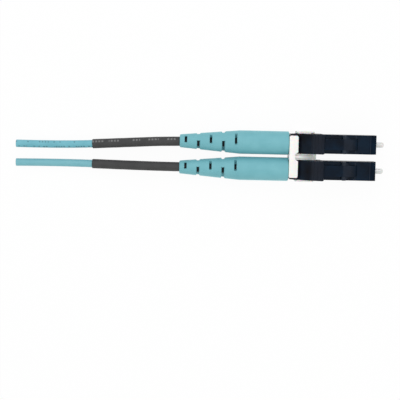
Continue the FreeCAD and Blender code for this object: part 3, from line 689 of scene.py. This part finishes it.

# %% [markdown]
# ## Cable jackets and shrink sleeves
# The jackets are satin aqua, cable a printed and cable b plain. The shrink sleeves are matt
# charcoal, with painted shade that makes them nearly black inside the boots, where they show
# through the slots. One recipe serves both: the moulded grain, rows of ticks laid over it, and a
# stretch along X painted darker as shade. A row is given by its side, as a share of the way round
# the tube, and by its ticks.

# %% Jacket and sleeve materials
def tube_skin(name, dark, light, ink, rough, grain, rows, shown, fresh=None, **uniform):
    """Extruded tube: grain, slow clouds, rows of printed ticks, and a stretch of painted shade."""
    material, tree, shader = new_material(name, **uniform)
    skin = use(
        tree, moulding,
        Grain_per_mm=grain[0], Grain_depth=grain[1], Edge_mm=0.04, Parting_height_mm=NO_PARTING,
    )
    base = blend(tree, skin["Clouds"], dark, light)
    for row in rows:
        inked = maths(tree, "MULTIPLY", skin["Grain"], 2 * shown)  # the grain is a half on average
        mark = maths(tree, "MULTIPLY", use(tree, ticks, **row)["Mask"], inked)
        base = blend(tree, mark, base, ink)
    # The stretch inside the boot is painted dark: painted shade.
    if fresh:
        start, end, colour = fresh
        kept = use(tree, stretch, From_mm=start, To_mm=end, Soft_mm=0.3, Patchiness=0.0)["Mask"]
        base = blend(tree, kept, base, colour)
    varied(tree, shader, base, span(tree, skin["Grain"], *rough), skin["Normal"])
    return material


JACKET = dict(rough=(0.36, 0.48), grain=(8.0, 0.12), ink=(0.03, 0.10, 0.13))
SLEEVE = dict(
    dark=(0.044, 0.044, 0.045), light=(0.056, 0.056, 0.057), ink=(0.30, 0.30, 0.30),
    rough=(0.45, 0.6), grain=(6.0, 0.25), Specular_IOR_Level=0.2,
    # painted shade on the sleeve inside the boot
    fresh=(BOOT_TAIL_X / MM + 0.1, 0.0, (0.004, 0.008, 0.012)),
)
LOW_ROW = dict(Pitch_mm=0.6, Bar_mm=0.36, Group_mm=5.2, Side=0.635, Width=0.03, Skip=0.3)
HIGH_ROW = dict(Pitch_mm=0.7, Bar_mm=0.3, Group_mm=3.7, Side=0.85, Width=0.03, Skip=0.6)
SLEEVE_ROW = dict(Pitch_mm=0.75, Bar_mm=0.45, Group_mm=4.4, Side=0.835, Width=0.035, Skip=0.25)
jackets = {
    "a": tube_skin(
        "jacket_printed", dark=(0.13, 0.40, 0.48), light=(0.15, 0.44, 0.525), **JACKET,
        rows=(LOW_ROW, HIGH_ROW), shown=0.7,
    ),
    "b": tube_skin(
        "jacket_plain", dark=(0.15, 0.405, 0.47), light=(0.18, 0.445, 0.505), **JACKET,
        rows=(), shown=0.0,
    ),
}
sleeves = {
    "a": tube_skin("sleeve_printed", **SLEEVE, rows=(SLEEVE_ROW,), shown=0.45),
    "b": tube_skin("sleeve_plain", **SLEEVE, rows=(), shown=0.0),
}

# %% [markdown]
# ## Metals
# The small metal pieces inside are nickel-plated brass, spring wire and a drawn aluminium tube. A
# brushed map wrapped round them would stretch at their steps. The rings of the turned group follow
# X instead, so they stay even over every step of a turned piece.

# %% Metal materials
nickel = metal(
    "nickel_plate", dark=(0.50, 0.47, 0.42), light=(0.66, 0.63, 0.57),
    rough=(0.22, 0.38), rings=24.0, depth=0.2,
)
spring_wire = metal(
    "spring_wire", dark=(0.42, 0.42, 0.43), light=(0.56, 0.56, 0.57),
    rough=(0.25, 0.38), rings=60.0, depth=0.1,
)
crimp_tube = metal(
    "crimp_tube", dark=(0.60, 0.60, 0.61), light=(0.74, 0.74, 0.75),
    rough=(0.28, 0.42), rings=18.0, depth=0.25,
)

# %% [markdown]
# ## Glass and yarn
# The fibre itself is clear silica, and the yarn is aramid, which is yellow and lies in fine
# drawn-out lines. A Mapping node stretches ordinary noise along X to make those lines, in place of
# thousands of separate filaments.

# %% Glass and yarn materials
def fibre_material():
    """Glass core, clear and polished."""
    material, tree, shader = new_material(
        "silica", Roughness=0.03, IOR=1.46, Transmission_Weight=0.9
    )
    place, _ = object_place(tree)
    tint = noise(tree, place, 3.0)
    feed(tree, shader["Base Color"], blend(tree, tint, (0.90, 0.95, 0.97), (0.97, 0.99, 1.0)))
    return material


def yarn_material():
    """Fine aramid filaments, with lines drawn out along the strands."""
    material, tree, shader = new_material("aramid_yarn", Sheen_Weight=0.4)
    place, _ = object_place(tree)
    drawn = add(tree, "ShaderNodeMapping", {"Vector": place, "Scale": (0.6, 30.0, 30.0)})
    lines = noise(tree, drawn.outputs[0], 1.0, 4.0)
    colour = blend(tree, lines, (0.50, 0.30, 0.035), (0.80, 0.58, 0.12))
    bump = bumped(tree, Height=lines, Strength=0.4, Distance=0.02 * MM)
    varied(tree, shader, colour, span(tree, lines, 0.4, 0.65), bump)
    return material


silica, yarn = fibre_material(), yarn_material()

# %% [markdown]
# ## A tube on a route
# A jacket is an extruded tube and a shrink sleeve is a thin tube shrunk over it, so both are one
# circle swept along the cable's route. A curve with a round bevel would do, but it has no wall and
# can't stop short of the route's ends. The tree trims the route, sweeps the circle and lets its
# radius vary a little, which gives the sleeve the uneven skin that heat leaves. It stores how far
# along and round each point lies, for the printed ticks.

# %% Tube on a route
TUBE_SIDES = 56
WAVES_PER_METRE = 450.0
ROUTE_INPUTS = [
    ("Route", "Object", None),
    ("From", "Float", 0.0),
    ("To", "Float", 0.01),
    ("Steps", "Int", 40),
]


def route_between(tree, given):
    """The route from one length along it to another, evenly divided."""
    info = add(tree, "GeometryNodeObjectInfo", {"Object": given["Route"]})
    # a Trim Curve node that works by lengths takes its start and its end at 4 and 5
    ends = {"Curve": info.outputs["Geometry"], 4: given["From"], 5: given["To"]}
    trim = add(tree, "GeometryNodeTrimCurve", ends, mode="LENGTH")
    steps = {"Curve": trim.outputs["Curve"], "Count": given["Steps"]}
    return add(tree, "GeometryNodeResampleCurve", steps).outputs["Curve"]


def stored(tree, geometry, name, value):
    """The geometry with this value kept at each point under a name."""
    inputs = {"Name": name, "Geometry": geometry, "Value": value}
    kept = add(
        tree, "GeometryNodeStoreNamedAttribute", inputs, data_type="FLOAT", domain="POINT"
    )
    return kept.outputs["Geometry"]


def circle(tree, sides, radius):
    """Circle to sweep along a line."""
    inputs = {"Resolution": sides, "Radius": radius}
    return add(tree, "GeometryNodeCurvePrimitiveCircle", inputs).outputs["Curve"]


def tube_tree():
    """Tube on a route, its radius taken in a little here and there."""
    sizes = [("Radius", "Float", MM), ("Waviness", "Float", 0.0)]
    tree, given = new_tree("tube_on_route", ROUTE_INPUTS + sizes)
    reach = tree.nodes.new("GeometryNodeSplineParameter").outputs["Length"]
    line = stored(tree, route_between(tree, given), "along", reach)
    along = {"W": reach, "Scale": WAVES_PER_METRE}
    wave = add(tree, "ShaderNodeTexNoise", along, noise_dimensions="1D").outputs[0]
    scale = maths(tree, "SUBTRACT", 1.0, maths(tree, "MULTIPLY", wave, given["Waviness"]))
    turn = tree.nodes.new("GeometryNodeSplineParameter").outputs["Factor"]
    ring = stored(tree, circle(tree, TUBE_SIDES, given["Radius"]), "around", turn)
    swept = {"Curve": line, "Profile Curve": ring, "Scale": scale}
    sweep = add(tree, "GeometryNodeCurveToMesh", swept).outputs["Mesh"]
    return close_tree(tree, given, sweep)


tube = tube_tree()

# %% [markdown]
# ## Jackets and shrink sleeves
# The tree makes only the outer skin. Drawing the bore as a second tube would leave two skins to
# join, so Solidify gives the real wall, which shows where the cable is cut square. The sleeve runs
# from its place on the crimp, through the boot and on behind it, between the ends of its solid.

# %% Jackets and shrink sleeves
JACKET_R, JACKET_WALL = 0.9 * MM, 0.3 * MM
SHRINK_R, SHRINK_WALL = 1.13 * MM, 0.2 * MM

cables, on_cable = {}, {}
for tag, route in routes.items():
    cables[tag] = build_with(
        tube, f"cable_{tag}", jackets[tag], wall=JACKET_WALL, edge=0.03 * MM,
        Route=route, From=0.0, To=length_of(paths[tag]), Steps=260, Radius=JACKET_R,
    )
    on_connector(cables[tag], "jacket_aqua", f"cable_jacket_{tag}")
    low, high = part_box(f"shrink_sleeve_{tag}")
    sleeve = build_with(
        tube, f"sleeve_{tag}", sleeves[tag], wall=SHRINK_WALL, edge=0.06 * MM,
        Route=route, From=length_at(paths[tag], high[0]), To=length_at(paths[tag], low[0]),
        Steps=180, Radius=SHRINK_R, Waviness=0.03,
    )
    on_cable[tag] = [on_connector(sleeve, "shrink_charcoal", f"shrink_sleeve_{tag}")]

# %% [markdown]
# ## Strands side by side
# A cable's yarn is a ring of filaments between its buffered fibre and its jacket. Random places
# would leave gaps and clumps, and rows would look woven. The golden angle lays the strands out
# evenly over the ring without rows, as seeds do in a sunflower.

# %% Strands on a route
GOLDEN_ANGLE = math.pi * (3.0 - math.sqrt(5.0))
STRAND_SIDES = 7


def strand_mesh(tree, curves, thickness, sides=STRAND_SIDES):
    """Closed round strands on these curves."""
    swept = {"Curve": curves, "Profile Curve": circle(tree, sides, thickness), "Fill Caps": True}
    return add(tree, "GeometryNodeCurveToMesh", swept).outputs["Mesh"]


def repeated(tree, given, where, what, **turned_by):
    """Real curves: one at each of so many points that lie where this vector says."""
    spots = add(tree, "GeometryNodePoints", {"Count": given["Strands"], "Position": where})
    inputs = {"Points": spots.outputs[0], "Instance": what, **turned_by}
    copies = add(tree, "GeometryNodeInstanceOnPoints", inputs).outputs[0]
    return add(tree, "GeometryNodeRealizeInstances", {"Geometry": copies}).outputs[0]


def bundle_tree():
    """Strands that fill a ring round the route, laid out by the golden angle."""
    sizes = [
        ("Strands", "Int", 1),
        ("Inner", "Float", 0.0),
        ("Outer", "Float", 0.0),
        ("Thickness", "Float", 0.02 * MM),
    ]
    tree, given = new_tree("strands_on_route", ROUTE_INPUTS + sizes)
    index = tree.nodes.new("GeometryNodeInputIndex").outputs[0]
    share = maths(tree, "DIVIDE", maths(tree, "ADD", index, 0.5), given["Strands"])
    inner, outer = (maths(tree, "MULTIPLY", given[k], given[k]) for k in ("Inner", "Outer"))
    area = maths(tree, "MULTIPLY", share, maths(tree, "SUBTRACT", outer, inner))
    reach = maths(tree, "SQRT", maths(tree, "ADD", inner, area))
    turn = maths(tree, "MULTIPLY", index, GOLDEN_ANGLE)
    across = maths(tree, "MULTIPLY", reach, maths(tree, "COSINE", turn))
    up = maths(tree, "MULTIPLY", reach, maths(tree, "SINE", turn))
    place = add(tree, "ShaderNodeCombineXYZ", {1: across, 2: up}).outputs[0]
    curves = repeated(tree, given, place, route_between(tree, given))
    return close_tree(tree, given, strand_mesh(tree, curves, given["Thickness"]))


bundle = bundle_tree()

# %% [markdown]
# ## The cut ends
# Each cable is cut square, and its make-up shows: jacket, yarn, buffered fibre and the glass. The
# cut could be one disc with a painted pattern, but close up it would be flat. So real strands, a
# few cable diameters long, lie inside the jacket at its end.

# %% Yarn, buffer and glass at the cut
BUFFER_R, GLASS_R = 0.3 * MM, 0.0625 * MM
END_LEN = 6.0 * MM
SET_BACK = 0.03 * MM  # of the strands, from the jacket's cut

for tag, route in routes.items():
    whole = length_of(paths[tag])
    at_end = dict(Route=route, From=whole - END_LEN, To=whole - SET_BACK, Steps=8)
    strands = build_with(
        bundle, f"yarn_end_{tag}", yarn, **at_end, Strands=110, Thickness=0.022 * MM,
        Inner=BUFFER_R + 0.02 * MM, Outer=JACKET_R - JACKET_WALL - 0.015 * MM,
    )
    core = build_with(
        tube, f"buffer_end_{tag}", buffer_skin, **at_end, Radius=BUFFER_R,
        wall=BUFFER_R - GLASS_R - 0.004 * MM, edge=0.015 * MM,
    )
    glass = build_with(bundle, f"glass_end_{tag}", silica, **at_end, Thickness=GLASS_R)
    for piece, slot in ((strands, "aramid"), (core, "buffer_plastic"), (glass, "silica")):
        on_cable[tag].append(on_connector(piece, slot))

# %% [markdown]
# ## Strands round an axis
# The aramid yarn is what holds a cable to its plug. It leaves the jacket, fans out and lies along
# the ribbed barrel, and the crimp sleeve is squeezed over it. Drawing each strand would be tedious,
# so one is drawn beside the axis and this tree repeats it round the axis, unevenly, as combed yarn
# lies. The unevenness comes from a Random Value node with its seed left at 0, so it never changes.

# %% Strands round an axis
def fan_tree():
    """One strand's line, drawn beside the X axis, repeated round an axis through a centre."""
    inputs = [
        ("Line", "Object", None),
        ("Centre", "Vector", None),
        ("Strands", "Int", 1),
        ("Thickness", "Float", 0.05 * MM),
        ("Unevenness", "Float", 0.0),
    ]
    tree, given = new_tree("strands_round_axis", inputs)
    info = add(tree, "GeometryNodeObjectInfo", {"Object": given["Line"]})
    index = tree.nodes.new("GeometryNodeInputIndex").outputs[0]
    chance = add(tree, "FunctionNodeRandomValue", data_type="FLOAT").outputs[1]
    step = maths(tree, "ADD", index, maths(tree, "MULTIPLY", chance, given["Unevenness"]))
    turn = maths(tree, "MULTIPLY", maths(tree, "DIVIDE", step, given["Strands"]), 2 * math.pi)
    rotation = add(tree, "ShaderNodeCombineXYZ", {0: turn}).outputs[0]
    strand = info.outputs["Geometry"]
    curves = repeated(tree, given, given["Centre"], strand, Rotation=rotation)
    return close_tree(tree, given, strand_mesh(tree, curves, given["Thickness"]))


fan = fan_tree()

# %% [markdown]
# ## Yarn over the crimp barrels
# The one strand starts inside the jacket, leaves it at the cable's front end and rises to lie on
# the barrel. Its places come from the start of the route and the boxes of yarn and barrel, so that
# the fan fits the solid layer that it stands for.

# %% Yarn over the barrels
INSIDE_JACKET_R = 0.43 * MM  # where the yarn lies between the fibre and the jacket
BELOW_SKIN = 0.1 * MM  # from the outside of the solid layer to the strands' middle


def strand_line(tag):
    """One strand beside the X axis, from inside the jacket to the front of the crimp."""
    low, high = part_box(f"aramid_yarn_{tag}")
    barrel_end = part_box(f"crimp_body_{tag}")[0][0]
    on_barrel_r = (high[2] - low[2]) / 2 - BELOW_SKIN
    line = [
        (low[0], INSIDE_JACKET_R),
        (ROUTES[tag][0][0], INSIDE_JACKET_R),
        (barrel_end - 0.1 * MM, on_barrel_r),
        (high[0], on_barrel_r),
    ]
    data = bpy.data.curves.new(f"strand_{tag}", "CURVE")
    data.dimensions = "3D"
    spline = data.splines.new("POLY")
    spline.points.add(len(line) - 1)
    for point, (x, r) in zip(spline.points, line):
        point.co = (x, 0.0, r, 1.0)
    return linked(f"strand_{tag}", data)


for tag, side in SIDES.items():
    line = strand_line(tag)
    fanned = build_with(
        fan, f"yarn_fan_{tag}", yarn, Line=line, Centre=on_axis(0.0, side),
        Strands=84, Thickness=0.075 * MM, Unevenness=0.4,
    )
    bpy.data.objects.remove(line)
    on_cable[tag].append(on_connector(fanned, "aramid", f"aramid_yarn_{tag}"))

# %% [markdown]
# ## The cables and their pieces
# A cable has a real length, and whoever uses the part may lay it another way. Each cable's name is
# printed with what goes along with it, down to the buffered fibre, and the route curves are
# removed. Its far end is a bare cut.

for tag, side in SIDES.items():
    print("cord", cables[tag].name, "with", [piece.name for piece in on_cable[tag]])

for route in routes.values():
    bpy.data.objects.remove(route)

# %% [markdown]
# ## Compression spring
# A spring of this kind has its last turns wound closed, so that it stands square. A Screw modifier
# gives an even helix only, so the tree bends a flat spiral: turns near the ends rise by one wire,
# and those between share what is left.

# %% Compression spring
WIRE_SIDES = 14


def spring_tree():
    """Round-wire spring along X from a centre, its end turns wound closed."""
    inputs = [
        ("Centre", "Vector", None),
        ("Length", "Float", 5 * MM),
        ("Radius", "Float", MM),
        ("Wire", "Float", 0.2 * MM),
        ("Turns", "Float", 6.0),
    ]
    tree, given = new_tree("compression_spring", inputs)
    radius, wire_r = given["Radius"], given["Wire"]
    flat = {
        "Resolution": 40, "Height": 0.0,
        "Rotations": given["Turns"], "Start Radius": radius, "End Radius": radius,
    }
    spiral = add(tree, "GeometryNodeCurveSpiral", flat).outputs[0]
    share = tree.nodes.new("GeometryNodeSplineParameter").outputs["Factor"]
    left = maths(tree, "SUBTRACT", 1.0, share)
    one_turn = maths(tree, "DIVIDE", 1.0, given["Turns"])
    last_turn = maths(tree, "SUBTRACT", 1.0, one_turn)
    between = {"Value": share, "From Min": one_turn, "From Max": last_turn}
    open_part = add(tree, "ShaderNodeMapRange", between).outputs[0]
    wire = maths(tree, "MULTIPLY", wire_r, 2.0)
    from_start = maths(tree, "MINIMUM", maths(tree, "DIVIDE", share, one_turn), 1.0)
    to_end = maths(tree, "MINIMUM", maths(tree, "DIVIDE", left, one_turn), 1.0)
    closed = maths(tree, "ADD", from_start, maths(tree, "SUBTRACT", 1.0, to_end))
    free = maths(tree, "SUBTRACT", given["Length"], maths(tree, "MULTIPLY", wire, 3.0))
    open_rise = maths(tree, "MULTIPLY", open_part, free)
    rise = maths(tree, "ADD", maths(tree, "MULTIPLY", wire, closed), open_rise)
    along = maths(tree, "ADD", rise, wire_r)
    spot = tree.nodes.new("GeometryNodeInputPosition").outputs[0]
    xyz = add(tree, "ShaderNodeSeparateXYZ", {0: spot}).outputs
    laid = add(tree, "ShaderNodeCombineXYZ", {0: along, 1: xyz[0], 2: xyz[1]}).outputs[0]
    terms = {0: laid, 1: given["Centre"]}
    placed = add(tree, "ShaderNodeVectorMath", terms, operation="ADD").outputs[0]
    bent = {"Geometry": spiral, "Position": placed}
    coil = add(tree, "GeometryNodeSetPosition", bent).outputs[0]
    return close_tree(tree, given, strand_mesh(tree, coil, wire_r, sides=WIRE_SIDES))


spring = spring_tree()

# %% [markdown]
# ## Springs behind the ferrules
# A small spring sits behind each ferrule and presses it forwards, between its seat in the plug and
# the flange. It shortens when the ferrule is pushed back. Moving it with the ferrule would lift it
# off its rear seat, so it stays on the connector.

# %% Springs behind the ferrules
SPRING_LEN = SPRING_FRONT_X - SPRING_REAR_X
for tag, side in SIDES.items():
    rear = on_axis(SPRING_REAR_X, side)
    coil = build_with(
        spring, f"spring_{tag}", spring_wire,
        Centre=rear, Length=SPRING_LEN, Radius=1.2 * MM, Wire=0.17 * MM, Turns=7.0,
    )
    on_connector(coil, "spring_steel", f"coil_spring_{tag}")
    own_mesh(coil)

# %% [markdown]
# ## Finishes of the rigid pieces
# The moulded and turned pieces keep their solids, because their shape is already right, and only
# trade their plain colour for a finish. One dictionary says which material each piece gets.

# %% Finish the rigid pieces
FINISH = {
    "ferrule": ceramic,
    "glass_fibre": silica,
    "ferrule_flange": nickel,
    "guide_tube": ptfe,
    "front_housing": housing_black,
    "latch_arm": latch_black,
    "rear_body": rear_black,
    "trigger": trigger_black,
    "crimp_body": nickel,
    "crimp_sleeve": crimp_tube,
    "boot": boot_skin,
    "fibre_buffer": buffer_skin,
}


def finish(node, material):
    for slot in nodes[node].material_slots:
        slot.material = material


finish("duplex_clip", white)
for name, material in FINISH.items():
    for tag in SIDES:
        finish(f"{name}_{tag}", material)
print("finished", 1 + 2 * len(FINISH), "nodes")

# %% [markdown]
# ## Surround and table finish
# A small part like this is usually shown on white. If more light made the white, the boots and the
# clip would wash out, so the white is asked for directly: a camera, mirror or glass ray that misses
# the connector sees a surround of strength 1, while light that falls on the connector comes from a
# dimmer one. The table does the same and keeps a small share of its real surface, so that the
# connector still casts a faint shadow.

# %% Surround and table finish
WHITE = (1.0, 1.0, 1.0, 1.0)
DIM_STRENGTH = 0.8  # of the surround, for light that falls on the connector
GLOW_SHARE = 0.94  # of the table, for a ray that sees it directly


def seen_directly(tree):
    """1 for camera, glossy and transmitted rays."""
    path = tree.nodes.new("ShaderNodeLightPath").outputs
    direct = maths(tree, "MAXIMUM", path["Is Camera Ray"], path["Is Glossy Ray"])
    return maths(tree, "MAXIMUM", direct, path["Is Transmission Ray"])


def surround():
    world = bpy.data.worlds.new("surround")
    scene.world = world
    world.use_nodes = True
    tree = world.node_tree
    background = tree.nodes["Background"].inputs
    feed(tree, background["Color"], WHITE)
    feed(tree, background["Strength"], span(tree, seen_directly(tree), DIM_STRENGTH, 1.0))
    return world


def table_material():
    material, tree, shader = new_material("table_white", Roughness=0.9, Specular_IOR_Level=0.1)
    place, _ = object_place(tree)
    mottle = noise(tree, place, 0.2)
    feed(tree, shader["Base Color"], blend(tree, mottle, (0.87, 0.87, 0.87), (0.89, 0.89, 0.89)))
    glow = add(tree, "ShaderNodeEmission", {"Color": WHITE, "Strength": 1.0}).outputs[0]
    share = maths(tree, "MULTIPLY", seen_directly(tree), GLOW_SHARE)
    real = tree.nodes["Principled BSDF"].outputs[0]
    mix = add(tree, "ShaderNodeMixShader", {0: share, 1: real, 2: glow}).outputs[0]
    feed(tree, tree.nodes["Material Output"].inputs["Surface"], mix)
    return material


table.data.materials.append(table_material())
print("world", surround().name)

# %% [markdown]
# ## Lamps
# Three soft square lamps light the connector. The key stands on the side of plug a, so that the
# boots are bright along that edge and fall off across their roundness. The overhead lamp reaches
# down between the plugs to the clip's web, and a weak fill with a little green in it keeps the far
# edges from going grey. Their size and distance set how soft the shadows are, not their power.

# %% Lamps
LAMP_AIM = Vector((camera.location.x, 0.0, 0.0))


def softbox(name, place, size, power, colour):
    data = bpy.data.lights.new(name, "AREA")
    data.shape, data.size, data.energy, data.color = "SQUARE", size, power, colour
    lamp = linked(name, data)
    lamp.location = place
    lamp.rotation_euler = (LAMP_AIM - Vector(place)).to_track_quat("-Z", "Y").to_euler()
    print("lamp", name, power, "W")


softbox("key", (-0.03, 0.30, 0.34), size=0.30, power=0.40, colour=(0.96, 0.98, 1.0))
softbox("overhead", (0.02, 0.0, 0.50), size=0.12, power=0.32, colour=(1.0, 1.0, 1.0))
softbox("fill", (0.04, -0.36, 0.24), size=0.36, power=0.11, colour=(0.90, 1.0, 0.70))
